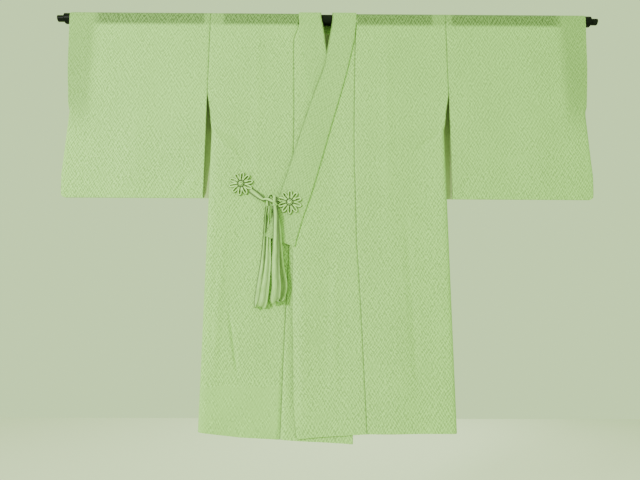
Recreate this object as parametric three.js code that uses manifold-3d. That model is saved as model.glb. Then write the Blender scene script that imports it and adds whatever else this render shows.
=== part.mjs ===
// A dochugi, the wrap-over coat worn on top of a kimono, hung by its shoulders on a lacquered rod.
// Millimetres, +Z up, the front faces -Y. The origin is on the rod's axis at the middle of the coat.
// "Left" and "right" are the wearer's: the wearer's left front laps over the right one, and is at +X.
import * as THREE from "three";
import { mergeVertices } from "three/addons/utils/BufferGeometryUtils.js";
import Module from "manifold-3d";

const wasm = await Module();
wasm.setup();

// Rod
const ROD_RADIUS = 13.5;
const ROD_HALF = 686; // to the step down to the end pegs
const ROD_BEVEL = 1.5;
const PEG_RADIUS = 8.3;
const PEG_LENGTH = 18;
const ROD_SIDES = 32;

// Cloth
const CLOTH = 1.4; // one layer
const BAND_CLOTH = 2.6; // the collar, folded double
const SEAM = 0.3; // gap between pieces that are sewn together
const LAID_ON = 0.55; // gap between a piece and the faceted one that it lies on
const OVER_ROD = ROD_RADIUS + LAID_ON + CLOTH / 2; // from the rod's axis to the cloth's middle
const ON_CLOTH = CLOTH / 2 + LAID_ON + BAND_CLOTH / 2; // from a panel's middle to that of the collar on it
const FLAT_EDGE = CLOTH / 2 + SEAM / 2; // from the seam plane to a wall's middle, where two walls meet

// Body: levels down from the rod's axis, and widths out from the centre back
const ARMHOLE_FOOT = -212;
const SIDE_SEAM_TOP = -300;
const SEAM_EASE = 12; // half the height over which an open edge closes into a seam
const HEM = -1026; // at the side seams
const SIDE_ROUND = 14; // width over which front and back round into the side seam
const SHOULDER_HALF = 304; // centre back to the armhole seam
const NECK_LAP = 6; // what a front's slanted edge has under the collar

// Sleeve
const CUFF_OPENING_FOOT = -253;
const SLEEVE_FOOT = -479;
const SLEEVE_CORNER = 10;
const SLEEVE_TAPER = 3.2; // half the depth of the pouch just above its foot
const FOOT_ROUND = 20;

// The fronts hang at different depths, so that one laps over the other.
const OVER_FORWARD = 1.9;
const UNDER_BACK = 5;
const LAP_LEVELS = { from: -20, to: -150 };
const LAP_WIDTHS = { from: 230, to: 95 };
// The free corner of the collar stands off the bow loops behind it.
const COLLAR_LIFT = { height: 5, levels: { from: -520, to: -575 }, widths: { from: -95, to: -145 } };

// Edges of the body, the same on both sides: the outer edge of front and back.
const BODY_SIDE = [
  { z: 0, side: 304 },
  { z: -212, side: 304 },
  { z: -256, side: 296 },
  { z: -300, side: 291 },
  { z: -559, side: 292 },
  { z: -1026, side: 294 },
];
// Back neckline: how far the cut stands from the centre back at each level.
const BACK_NECK = [
  { z: 0, cut: 73 },
  { z: -14, cut: 73 },
  { z: -22, cut: 66 },
  { z: -27, cut: 44 },
  { z: -30, cut: SEAM / 2 },
];
// Fronts: the seam between body and overlap panel, and the panel's own edge: the collar's seam line
// down to the collar's end, the free edge below it. Each is measured from the centre to its own side.
const OVER_FRONT = [
  { z: 0, seam: 72, edge: 71 },
  { z: -61, seam: 70, edge: 66 },
  { z: -141, seam: 68, edge: 49 },
  { z: -221, seam: 66.5, edge: 31 },
  { z: -313, seam: 65, edge: 0 },
  { z: -390, seam: 65, edge: -20 },
  { z: -469, seam: 67, edge: -46 },
  { z: -597, seam: 69, edge: -82 },
  { z: -606, seam: 70, edge: -78 },
  { z: -732, seam: 77, edge: -78 },
  { z: -952, seam: 86, edge: -73 },
  { z: -1026, seam: 89, edge: -65 },
];
const UNDER_FRONT = [
  { z: 0, seam: 76, edge: 75 },
  { z: -30, seam: 77, edge: 71 },
  { z: -62, seam: 88, edge: 67 },
  { z: -96, seam: 88, edge: 62 },
  { z: -158, seam: 87, edge: 53 },
  { z: -217, seam: 86, edge: 40 },
  { z: -313, seam: 85, edge: 15 },
  { z: -390, seam: 86, edge: -5 },
  { z: -475, seam: 89, edge: -26 },
  { z: -597, seam: 94, edge: -58 },
  { z: -606, seam: 94, edge: -54 },
  { z: -883, seam: 104, edge: -53 },
  { z: -1026, seam: 108, edge: -51 },
];
// Hems: the level of the hem at each distance from the centre to that front's own side.
const OVER_HEM = [
  { x: -84, z: -1039 },
  { x: -30, z: -1034 },
  { x: 89, z: -1027 },
  { x: 294, z: -1026 },
];
const UNDER_HEM = [
  { x: -60, z: -1050 },
  { x: 105, z: -1041 },
  { x: 197, z: -1035 },
  { x: 242, z: -1030 },
  { x: 294, z: -1024 },
];
const CUFF_EDGE = [
  { z: 0, edge: 667 },
  { z: -140, edge: 660 },
  { z: -253, edge: 649 },
  { z: -420, edge: 658 },
  { z: -479, edge: 655 },
];
// The collar in front of the rod, from its end up: its free edge (inner) and its seam edge (outer).
const OVER_COLLAR = [
  { innerX: -150, innerZ: -577, outerX: -83, outerZ: -603 },
  { innerX: -131, innerZ: -517, outerX: -63, outerZ: -539 },
  { innerX: -112, innerZ: -456, outerX: -43, outerZ: -478 },
  { innerX: -81, innerZ: -356, outerX: -14, outerZ: -376 },
  { innerX: -61, innerZ: -289, outerX: 4, outerZ: -309 },
  { innerX: -33, innerZ: -201, outerX: 28, outerZ: -224 },
  { innerX: -10, innerZ: -135, outerX: 47, outerZ: -152 },
  { innerX: -2, innerZ: -87, outerX: 60, outerZ: -94 },
  { innerX: 4, innerZ: -54, outerX: 67, outerZ: -58 },
  { innerX: 9, innerZ: -22, outerX: 71, outerZ: -24 },
];
const UNDER_COLLAR = [
  { innerX: -127, innerZ: -578, outerX: -59, outerZ: -603 },
  { innerX: -94, innerZ: -456, outerX: -27, outerZ: -478 },
  { innerX: -71, innerZ: -371, outerX: -5, outerZ: -391 },
  { innerX: -50, innerZ: -292, outerX: 15, outerZ: -313 },
  { innerX: -22, innerZ: -196, outerX: 40, outerZ: -217 },
  { innerX: -4, innerZ: -138, outerX: 54, outerZ: -156 },
  { innerX: 5, innerZ: -88, outerX: 62, outerZ: -97 },
  { innerX: 9, innerZ: -56, outerX: 68, outerZ: -60 },
  { innerX: 14, innerZ: -22, outerX: 74, outerZ: -24 },
];
const COLLAR_AT_ROD = { over: { inner: 11, outer: 73 }, under: { inner: 18, outer: 76 } };
// Behind the rod the collar turns along the back neckline, its free edge standing up.
const COLLAR_BACK = [
  { inner: 1.0, innerY: 6.5, innerZ: 18.8, outer: 1.0, outerY: 6.6, outerZ: 15.9 },
  { inner: 1.0, innerY: 11, innerZ: 20.8, outer: 1.0, outerY: 12.2, outerZ: 12.2 },
  { inner: 0.95, innerY: 15, innerZ: 22.3, outer: 1.0, outerY: 15.9, outerZ: 6.6 },
  { inner: 0.9, innerY: 17.3, innerZ: 23.8, outer: 1.0, outerY: 17.4, outerZ: 0 },
  { inner: 0.65, innerY: 18.5, innerZ: 25.5, outer: 0.95, outerY: 17.8, outerZ: -17 },
  { inner: 0.35, innerY: 19.5, innerZ: 27, outer: 0.66, outerY: 18.1, outerZ: -29 },
  { inner: 0.0, innerY: 20, innerZ: 27.5, outer: 0.0, outerY: 18.3, outerZ: -34 },
];

// Flower knots and ties
const PETALS = 10;
const PETAL_CORD_RADIUS = 2.1;
const PETAL_LENGTH = 21; // of the cord's middle line, from the foot of the loop to its tip
const PETAL_HALF_WIDTH = 3.4;
const PETAL_FOOT = 6; // from the flower's middle
const PETAL_FOOT_WIDTH = 0.75; // share of the half width that the loop has at its foot
const PETAL_STEPS = 10;
const PETAL_SIDES = 6;
const BUD_RADIUS = 6.5;
const BUD_FLATNESS = 0.62;
const BUD_FORWARD = 2.1;
const BUD_SIDES = 14;
const BUD_RINGS = 8;
const WELD = 1e-4; // points closer than this are one
const FLOWERS = [
  { name: "flower_right", x: -212, z: -447, plane: -17.7, turn: 6 },
  { name: "flower_left", x: -92, z: -494, plane: -23, turn: 0 },
];
const TIE_WIDTH = 24;
const TIE_CLOTH = 1.6;
const KNOT = { left: -151.2, right: -119.2, back: -20.8, front: -33.5, foot: -503, top: -481.5 };
const KNOT_ROUND = 3.2;
const TIE_STEPS = 8;
const LOOP_STEPS = 42;

const SILK = { color: 0xb5cf9c, roughness: 0.62, metalness: 0 };
const CORD = { color: 0xa9c48e, roughness: 0.6, metalness: 0 };
const LACQUER = { color: 0x0d1010, roughness: 0.22, metalness: 0 };

const coat = new THREE.Group();

function addPiece(name, geometry, finish) {
  const piece = new THREE.Mesh(geometry, new THREE.MeshStandardMaterial(finish));
  piece.name = name;
  coat.add(piece);
}

// The value of a table's column at a place along its key column, whose rows fall or rise steadily.
function lookUp(table, key, column, place) {
  const rising = table[table.length - 1][key] > table[0][key];
  const next = table.findIndex((row) => (rising ? row[key] >= place : row[key] <= place));
  if (next === 0) return table[0][column];
  if (next < 0) return table[table.length - 1][column];
  const [a, b] = [table[next - 1], table[next]];
  return THREE.MathUtils.mapLinear(place, a[key], b[key], a[column], b[column]);
}

// 0 at from, 1 at to, with a soft start and end, whichever of the two is larger.
function ease(from, to, value) {
  return THREE.MathUtils.smoothstep((value - from) / (to - from), 0, 1);
}

function surfaceNormal(grid, row, column) {
  const rows = grid.length - 1;
  const columns = grid[0].length - 1;
  const along = grid[Math.min(row + 1, rows)][column].clone().sub(grid[Math.max(row - 1, 0)][column]);
  const across = grid[row][Math.min(column + 1, columns)].clone().sub(grid[row][Math.max(column - 1, 0)]);
  return along.cross(across).normalize();
}

// A closed wall of even thickness about a grid of points on its middle surface.
function wallAbout(grid, thickness) {
  const rows = grid.length;
  const columns = grid[0].length;
  const faces = [1, -1].map((face) =>
    grid.map((line, row) =>
      line.map((point, column) =>
        point.clone().addScaledVector(surfaceNormal(grid, row, column), (face * thickness) / 2),
      ),
    ),
  );
  const points = faces.flat(2);
  const at = (face, row, column) => (face * rows + row) * columns + column;
  const index = [];
  const quad = (a, b, c, d) => index.push(a, b, c, a, c, d);
  for (let row = 0; row < rows - 1; row++) {
    for (let column = 0; column < columns - 1; column++) {
      quad(at(0, row, column), at(0, row + 1, column), at(0, row + 1, column + 1), at(0, row, column + 1));
      quad(at(1, row, column), at(1, row, column + 1), at(1, row + 1, column + 1), at(1, row + 1, column));
    }
    const last = columns - 1;
    quad(at(0, row, 0), at(1, row, 0), at(1, row + 1, 0), at(0, row + 1, 0));
    quad(at(0, row, last), at(0, row + 1, last), at(1, row + 1, last), at(1, row, last));
  }
  for (let column = 0; column < columns - 1; column++) {
    const last = rows - 1;
    quad(at(0, 0, column), at(0, 0, column + 1), at(1, 0, column + 1), at(1, 0, column));
    quad(at(0, last, column), at(1, last, column), at(1, last, column + 1), at(0, last, column + 1));
  }
  return new THREE.BufferGeometry().setFromPoints(points).setIndex(index);
}

// A grid in its side's own measures becomes one in the part's frame. On the wearer's right x changes
// sign, which turns the surface round, so each line of points is reversed to turn it back.
function onSide(side, grid) {
  return grid.map((line) => {
    const placed = line.map((p) => new THREE.Vector3(side * p.x, p.y, p.z));
    return side < 0 ? placed.reverse() : placed;
  });
}

// Stations over the rod for cloth that hangs from it: up the front, round the rod, down the back.
const ROD_TURN = [0, 22.5, 45, 67.5, 90, 112.5, 135, 157.5, 180];
function stationsOverRod(frontLevels, backLevels, radius) {
  const turn = ROD_TURN.map((degrees) => {
    const angle = THREE.MathUtils.degToRad(degrees);
    return { back: degrees > 90, onRod: true, y: -radius * Math.cos(angle), z: radius * Math.sin(angle) };
  });
  const front = frontLevels.map((z) => ({ back: false, onRod: false, y: -radius, z }));
  const back = backLevels.map((z) => ({ back: true, onRod: false, y: radius, z }));
  return [...front, ...turn, ...back];
}

// Depth of the two fronts: the over front comes forward, the under front goes back.
function frontDepth(over, x, z) {
  const lap = ease(LAP_LEVELS.from, LAP_LEVELS.to, z) * ease(LAP_WIDTHS.from, LAP_WIDTHS.to, x);
  return -OVER_ROD + (over ? -OVER_FORWARD : UNDER_BACK) * lap;
}

// Below the side seam's top, levels stretch a little so that the last one is the hem's.
function atHem(hemTable, x, z) {
  if (z > SIDE_SEAM_TOP) return z;
  const drop = (lookUp(hemTable, "x", "z", x) - SIDE_SEAM_TOP) / (HEM - SIDE_SEAM_TOP);
  return SIDE_SEAM_TOP + (z - SIDE_SEAM_TOP) * drop;
}

// Body: one length of cloth for each side, from the front hem over the rod to the back hem.
const FRONT_LEVELS = [
  HEM, -925, -800, -680, -560, -440, -360, -312, -300, -288, -250, -212, -150, -95, -50, -20,
];
const BACK_LEVELS = [-14, -22, -27, -30, -95, -212, -250, -288, -300, -312, -440, -620, -800, -925, HEM];
const BODY_COLUMNS = [0, 0.2, 0.4, 0.6, 0.8, 1];
const ROUND_STEPS = [22.5, 45, 67.5, 90];

function bodyGrid(over) {
  const fronts = over ? OVER_FRONT : UNDER_FRONT;
  const hems = over ? OVER_HEM : UNDER_HEM;
  return stationsOverRod(FRONT_LEVELS, BACK_LEVELS, OVER_ROD).map((station) => {
    const level = station.onRod ? 0 : station.z;
    const inner = station.back
      ? lookUp(BACK_NECK, "z", "cut", level)
      : lookUp(fronts, "z", "seam", level) + SEAM / 2;
    const outer = lookUp(BODY_SIDE, "z", "side", level) - SEAM / 2;
    const roundFrom = outer - SIDE_ROUND;
    const flat = BODY_COLUMNS.map((share) => THREE.MathUtils.lerp(inner, roundFrom, share));
    const round = ROUND_STEPS.map(
      (degrees) => roundFrom + SIDE_ROUND * Math.sin(THREE.MathUtils.degToRad(degrees)),
    );
    const joined = ease(SIDE_SEAM_TOP + SEAM_EASE, SIDE_SEAM_TOP - SEAM_EASE, level);
    return [...flat, ...round].map((x) => {
      if (station.onRod) return new THREE.Vector3(x, station.y, station.z);
      const depth = station.back ? OVER_ROD : -frontDepth(over, x, level);
      const near = Math.min(1, (outer - x) / SIDE_ROUND);
      const rounded = FLAT_EDGE + (depth - FLAT_EDGE) * Math.sqrt(1 - (1 - near) ** 2);
      const y = THREE.MathUtils.lerp(depth, rounded, joined);
      return new THREE.Vector3(x, station.back ? y : -y, atHem(hems, station.back ? outer : x, level));
    });
  });
}
addPiece("body_left", wallAbout(onSide(1, bodyGrid(true)), CLOTH), SILK);
addPiece("body_right", wallAbout(onSide(-1, bodyGrid(false)), CLOTH), SILK);

// Overlap panels: the strips that widen the fronts, sewn to the body on one side and to the collar
// on the slanted side. Below the collar's end the edge is free.
const PANEL_LEVELS = [
  -22, -95, -150, -221, -313, -390, -469, -540, -597, -606, -700, -810, -925, HEM,
];
const PANEL_COLUMNS = [0, 0.2, 0.45, 0.75, 1];

function panelGrid(over) {
  const fronts = over ? OVER_FRONT : UNDER_FRONT;
  return PANEL_LEVELS.map((level) => {
    const edge = lookUp(fronts, "z", "edge", level) - NECK_LAP;
    const seam = lookUp(fronts, "z", "seam", level) - SEAM;
    return PANEL_COLUMNS.map((share) => {
      const x = THREE.MathUtils.lerp(edge, seam, share);
      return new THREE.Vector3(x, frontDepth(over, x, level), atHem(over ? OVER_HEM : UNDER_HEM, x, level));
    });
  }).reverse();
}
addPiece("overlap_left", wallAbout(onSide(1, panelGrid(true)), CLOTH), SILK);
addPiece("overlap_right", wallAbout(onSide(-1, panelGrid(false)), CLOTH), SILK);

// Sleeves: cloth folded over the rod, open at the wrist above the cuff's foot and on the body side
// below the armhole, sewn along the foot.
const SLEEVE_LEVELS = [SLEEVE_FOOT, -474, -465, -440, -380, -310, -265, -253, -241, -212, -110, -25];
const SLEEVE_COLUMNS = [0, 0.25, 0.5, 0.75, 1];
const SLEEVE_OPEN_SIDE = [
  { z: -212, open: SHOULDER_HALF },
  { z: -479, open: 306 },
];

function sleeveGrid() {
  const down = [...SLEEVE_LEVELS].reverse();
  return stationsOverRod(SLEEVE_LEVELS, down, OVER_ROD).map((station) => {
    const level = station.onRod ? 0 : station.z;
    const inner = lookUp(SLEEVE_OPEN_SIDE, "z", "open", level) + SEAM / 2;
    const outer = lookUp(CUFF_EDGE, "z", "edge", level);
    const roundFrom = outer - SIDE_ROUND;
    const flat = SLEEVE_COLUMNS.map((share) => THREE.MathUtils.lerp(inner, roundFrom, share));
    const round = ROUND_STEPS.map(
      (degrees) => roundFrom + SIDE_ROUND * Math.sin(THREE.MathUtils.degToRad(degrees)),
    );
    const joined = ease(CUFF_OPENING_FOOT + SEAM_EASE, CUFF_OPENING_FOOT - SEAM_EASE, level);
    const taper = THREE.MathUtils.lerp(OVER_ROD, SLEEVE_TAPER, ease(ARMHOLE_FOOT, SLEEVE_FOOT, level));
    const above = Math.min(1, (level - SLEEVE_FOOT) / FOOT_ROUND);
    const depth = FLAT_EDGE + (taper - FLAT_EDGE) * Math.sin((above * Math.PI) / 2);
    return [...flat, ...round].map((x) => {
      if (station.onRod) return new THREE.Vector3(x, station.y, station.z);
      const near = Math.min(1, (outer - x) / SIDE_ROUND);
      const rounded = FLAT_EDGE + (depth - FLAT_EDGE) * Math.sqrt(1 - (1 - near) ** 2);
      const y = THREE.MathUtils.lerp(depth, rounded, joined);
      const corner = Math.max(0, SLEEVE_CORNER - (outer - x));
      const lowest = SLEEVE_FOOT + SLEEVE_CORNER - Math.sqrt(SLEEVE_CORNER ** 2 - corner ** 2);
      const rise = (lowest - SLEEVE_FOOT) * (1 - above);
      return new THREE.Vector3(x, station.back ? y : -y, level + rise);
    });
  });
}
addPiece("sleeve_left", wallAbout(onSide(1, sleeveGrid()), CLOTH), SILK);
addPiece("sleeve_right", wallAbout(onSide(-1, sleeveGrid()), CLOTH), SILK);

// Collar: one long band folded double, from the end of the under front up over the rod, round the
// back neckline and down to the end of the over front.
const COLLAR_COLUMNS = [0, 0.33, 0.67, 1];
const COLLAR_ROD_TURN = [0, 22.5, 45, 67.5, 90];

function collarLift(x, z) {
  const { height, levels, widths } = COLLAR_LIFT;
  return height * ease(levels.from, levels.to, z) * ease(widths.from, widths.to, x);
}

function collarHalf(over) {
  const side = over ? 1 : -1;
  const atRod = over ? COLLAR_AT_ROD.over : COLLAR_AT_ROD.under;
  const front = (over ? OVER_COLLAR : UNDER_COLLAR).map((row) =>
    COLLAR_COLUMNS.map((share) => {
      const x = THREE.MathUtils.lerp(row.innerX, row.outerX, share);
      const z = THREE.MathUtils.lerp(row.innerZ, row.outerZ, share);
      const lift = over ? collarLift(x, z) : 0;
      return new THREE.Vector3(side * x, frontDepth(over, x, z) - (ON_CLOTH + lift), z);
    }),
  );
  const radius = OVER_ROD + ON_CLOTH;
  const turn = COLLAR_ROD_TURN.map((degrees) => {
    const angle = THREE.MathUtils.degToRad(degrees);
    return COLLAR_COLUMNS.map((share) => {
      const x = THREE.MathUtils.lerp(atRod.inner, atRod.outer, share);
      return new THREE.Vector3(side * x, -radius * Math.cos(angle), radius * Math.sin(angle));
    });
  });
  const back = COLLAR_BACK.map((row) =>
    COLLAR_COLUMNS.map((share) => {
      const x = THREE.MathUtils.lerp(atRod.inner * row.inner, atRod.outer * row.outer, share);
      const y = THREE.MathUtils.lerp(row.innerY, row.outerY, share);
      return new THREE.Vector3(side * x, y, THREE.MathUtils.lerp(row.innerZ, row.outerZ, share));
    }),
  );
  return [...front, ...turn, ...back];
}
const collarGrid = [...collarHalf(true), ...collarHalf(false).reverse().slice(1)];
addPiece("collar", wallAbout(collarGrid, BAND_CLOTH), SILK);

// manifold-3d solid of a closed geometry, and back.
function solidOf(geometry) {
  const bare = geometry.clone();
  bare.deleteAttribute("normal");
  bare.deleteAttribute("uv");
  const merged = mergeVertices(bare, WELD);
  const vertProperties = new Float32Array(merged.attributes.position.array);
  const triVerts = new Uint32Array(merged.index.array);
  return new wasm.Manifold(new wasm.Mesh({ numProp: 3, vertProperties, triVerts }));
}

function geometryOf(solid) {
  const mesh = solid.getMesh();
  const geometry = new THREE.BufferGeometry();
  geometry.setAttribute("position", new THREE.BufferAttribute(mesh.vertProperties, 3));
  return geometry.setIndex(new THREE.BufferAttribute(mesh.triVerts, 1));
}

// One petal: a closed loop of round cord that lies flat, long in the direction it points.
function petalLoop() {
  const points = [];
  const index = [];
  for (let step = 0; step < PETAL_STEPS; step++) {
    const angle = (2 * Math.PI * step) / PETAL_STEPS;
    const reach = PETAL_FOOT + (PETAL_LENGTH * (1 - Math.cos(angle))) / 2;
    const swell = THREE.MathUtils.lerp(PETAL_FOOT_WIDTH, 1, (reach - PETAL_FOOT) / PETAL_LENGTH);
    const middle = new THREE.Vector3(reach, 0, PETAL_HALF_WIDTH * swell * Math.sin(angle));
    const out = new THREE.Vector3(-Math.cos(angle) * PETAL_HALF_WIDTH, 0, 0);
    out.setZ((Math.sin(angle) * PETAL_LENGTH) / 2).normalize();
    for (let side = 0; side < PETAL_SIDES; side++) {
      const round = (2 * Math.PI * (side + 0.5)) / PETAL_SIDES;
      const point = middle.clone().addScaledVector(out, PETAL_CORD_RADIUS * Math.cos(round));
      point.y += PETAL_CORD_RADIUS * Math.sin(round);
      points.push(point);
      const onward = ((step + 1) % PETAL_STEPS) * PETAL_SIDES;
      const next = (side + 1) % PETAL_SIDES;
      const here = step * PETAL_SIDES;
      index.push(here + side, onward + side, here + next, here + next, onward + side, onward + next);
    }
  }
  return new THREE.BufferGeometry().setFromPoints(points).setIndex(index);
}

// Flower knots: ten loops of cord round a wrapped bud.
function flowerKnot() {
  const bud = new THREE.SphereGeometry(BUD_RADIUS, BUD_SIDES, BUD_RINGS);
  bud.scale(1, BUD_FLATNESS, 1).translate(0, -BUD_FORWARD, 0);
  let flower = solidOf(bud);
  for (let petal = 0; petal < PETALS; petal++) {
    const loop = petalLoop().rotateY((2 * Math.PI * (petal + 0.5)) / PETALS);
    flower = flower.add(solidOf(loop));
  }
  return geometryOf(flower);
}
for (const { name, x, z, plane, turn } of FLOWERS) {
  const place = new THREE.Matrix4()
    .makeRotationY(THREE.MathUtils.degToRad(turn))
    .setPosition(x, plane, z);
  addPiece(name, flowerKnot().applyMatrix4(place), CORD);
}

// Bow: the knot, and the flat ties that hang from it. A route's rows give the middle of the band, and
// how much of its full width is open there.
function roundedBlock({ left, right, back, front, foot, top }, round) {
  const [halfWidth, halfHeight] = [(right - left) / 2 - round, (top - foot) / 2 - round];
  const outline = new THREE.Shape();
  outline.absarc(halfWidth - round, halfHeight - round, round, 0, Math.PI / 2);
  outline.absarc(round - halfWidth, halfHeight - round, round, Math.PI / 2, Math.PI);
  outline.absarc(round - halfWidth, round - halfHeight, round, Math.PI, 1.5 * Math.PI);
  outline.absarc(halfWidth - round, round - halfHeight, round, 1.5 * Math.PI, 2 * Math.PI);
  const depth = back - front - 2 * round;
  const bevel = { bevelThickness: round, bevelSize: round, bevelSegments: 3, curveSegments: 4 };
  return new THREE.ExtrudeGeometry(outline, { depth, ...bevel })
    .translate(0, 0, -depth / 2)
    .rotateX(Math.PI / 2)
    .translate((left + right) / 2, (back + front) / 2, (foot + top) / 2);
}
addPiece("bow_knot", roundedBlock(KNOT, KNOT_ROUND), CORD);

class BandRoute extends THREE.CatmullRomCurve3 {
  constructor(rows, across) {
    super(rows.map(({ x, y, z }) => new THREE.Vector3(x, y, z)), false, "centripetal");
    this.rows = rows;
    this.across = across;
  }

  // Frames whose normal runs across the band, as long as the share of the width that is open there.
  computeFrenetFrames(segments) {
    const frames = { tangents: [], normals: [], binormals: [] };
    for (let step = 0; step <= segments; step++) {
      const tangent = this.getTangentAt(step / segments);
      const place = this.getUtoTmapping(step / segments) * (this.rows.length - 1);
      const index = Math.min(Math.floor(place), this.rows.length - 2);
      const open = THREE.MathUtils.lerp(this.rows[index].open, this.rows[index + 1].open, place - index);
      const normal = this.across.clone();
      normal.addScaledVector(tangent, -normal.dot(tangent)).normalize();
      frames.tangents.push(tangent);
      frames.binormals.push(tangent.clone().cross(normal));
      frames.normals.push(normal.multiplyScalar(open));
    }
    return frames;
  }
}

// Shares of half the tie's width and half its cloth: flat faces with the edges turned in.
const TIE_SECTION = new THREE.Shape(
  [
    [1, 0.35], [0.94, 1], [-0.94, 1], [-1, 0.35], [-1, -0.35], [-0.94, -1], [0.94, -1], [1, -0.35],
  ].map(([across, deep]) => new THREE.Vector2((across * TIE_WIDTH) / 2, (deep * TIE_CLOTH) / 2)),
);
function bandAlong(rows, across, steps) {
  const extrudePath = new BandRoute(rows, across.normalize());
  return new THREE.ExtrudeGeometry(TIE_SECTION, { steps, extrudePath, bevelEnabled: false });
}

const TIE_ROUTE = [
  { x: -188, y: -17.7, z: -462.6, open: 0.6 },
  { x: -179, y: -18.8, z: -469.5, open: 0.63 },
  { x: -169, y: -21, z: -477.5, open: 0.6 },
  { x: -161, y: -24, z: -484, open: 0.5 },
  { x: -155, y: -26.4, z: -487.5, open: 0.4 },
  { x: -151.6, y: -26.4, z: -487.5, open: 0.4 },
];
const LOOP_BEHIND_ROUTE = [
  { x: -146.5, y: -26, z: -503.35, open: 0.28 },
  { x: -146.5, y: -26, z: -507, open: 0.28 },
  { x: -149.5, y: -20, z: -524, open: 0.28 },
  { x: -150.5, y: -15.6, z: -547, open: 0.33 },
  { x: -151.5, y: -15.1, z: -590, open: 0.46 },
  { x: -154, y: -15.4, z: -640, open: 0.62 },
  { x: -159, y: -16, z: -695, open: 0.85 },
  { x: -161.5, y: -16.6, z: -731, open: 0.95 },
  { x: -159.5, y: -20.2, z: -743, open: 0.95 },
  { x: -153.5, y: -24.5, z: -738, open: 0.95 },
  { x: -147.5, y: -23.5, z: -700, open: 0.85 },
  { x: -142, y: -21.3, z: -640, open: 0.6 },
  { x: -141.5, y: -18.6, z: -590, open: 0.4 },
  { x: -141, y: -17.6, z: -550, open: 0.33 },
  { x: -140, y: -18.4, z: -532, open: 0.28 },
  { x: -138.5, y: -26, z: -508, open: 0.28 },
  { x: -138.5, y: -26, z: -503.35, open: 0.27 },
];
const LOOP_IN_FRONT_ROUTE = [
  { x: -127, y: -29, z: -503.35, open: 0.47 },
  { x: -127, y: -29, z: -507, open: 0.5 },
  { x: -124.5, y: -33.5, z: -526, open: 0.58 },
  { x: -123.5, y: -35, z: -560, open: 0.6 },
  { x: -122.5, y: -35, z: -600, open: 0.7 },
  { x: -122.5, y: -34, z: -650, open: 0.83 },
  { x: -120, y: -32, z: -700, open: 0.92 },
  { x: -122, y: -30, z: -722, open: 1 },
  { x: -121.5, y: -25.5, z: -732, open: 1 },
  { x: -113, y: -21, z: -724, open: 1 },
  { x: -106, y: -21.5, z: -695, open: 0.95 },
  { x: -111.5, y: -24.5, z: -650, open: 0.75 },
  { x: -114.5, y: -27.2, z: -600, open: 0.55 },
  { x: -116.5, y: -28, z: -560, open: 0.45 },
  { x: -121, y: -26.4, z: -528, open: 0.35 },
  { x: -130, y: -24.8, z: -508, open: 0.27 },
  { x: -130, y: -24.8, z: -503.35, open: 0.27 },
];
const SIDEWAYS = new THREE.Vector3(1, 0, 0);
const SLANTED = new THREE.Vector3(0.55, 0, 0.84);
const FOLD_SLANT = new THREE.Vector3(0.92, 0, 0.39); // the front loop's foot is folded on a slant
addPiece("tie_to_knot", bandAlong(TIE_ROUTE, SLANTED, TIE_STEPS), CORD);
addPiece("bow_loop_behind", bandAlong(LOOP_BEHIND_ROUTE, SIDEWAYS, LOOP_STEPS), CORD);
addPiece("bow_loop_front", bandAlong(LOOP_IN_FRONT_ROUTE, FOLD_SLANT, LOOP_STEPS), CORD);

// Rod: a turned bar, stepped down to a peg at each end.
const rodHalfProfile = [
  [ROD_RADIUS, ROD_HALF - ROD_BEVEL],
  [ROD_RADIUS - ROD_BEVEL, ROD_HALF],
  [PEG_RADIUS, ROD_HALF],
  [PEG_RADIUS, ROD_HALF + PEG_LENGTH],
  [0, ROD_HALF + PEG_LENGTH],
];
const rodProfile = [
  ...rodHalfProfile.map(([radius, out]) => new THREE.Vector2(radius, -out)).reverse(),
  ...rodHalfProfile.map(([radius, out]) => new THREE.Vector2(radius, out)),
];
addPiece("rod", new THREE.LatheGeometry(rodProfile, ROD_SIDES).rotateZ(-Math.PI / 2), LACQUER);

export default coat;
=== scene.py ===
import math

import bpy
import numpy as np
from mathutils import Matrix, Vector


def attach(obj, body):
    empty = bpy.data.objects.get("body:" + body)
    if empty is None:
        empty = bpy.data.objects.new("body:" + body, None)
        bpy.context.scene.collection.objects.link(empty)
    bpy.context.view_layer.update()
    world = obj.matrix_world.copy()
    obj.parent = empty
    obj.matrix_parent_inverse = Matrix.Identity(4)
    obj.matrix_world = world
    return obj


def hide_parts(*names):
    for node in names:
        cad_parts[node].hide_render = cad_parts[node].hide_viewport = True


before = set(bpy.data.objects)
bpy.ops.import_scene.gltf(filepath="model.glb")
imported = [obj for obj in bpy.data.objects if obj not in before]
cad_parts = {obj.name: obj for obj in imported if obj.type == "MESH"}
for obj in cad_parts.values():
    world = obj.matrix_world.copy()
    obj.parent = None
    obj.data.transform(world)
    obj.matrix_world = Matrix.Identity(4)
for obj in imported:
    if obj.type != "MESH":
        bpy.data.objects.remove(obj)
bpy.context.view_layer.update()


# ---------------------------------------------------------------- Rod
# A turned hardwood bar in black lacquer, stepped down to a peg at each end where it drops into
# its stand. The lacquer was brushed on along the bar, and a little dust dulls it.


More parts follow.
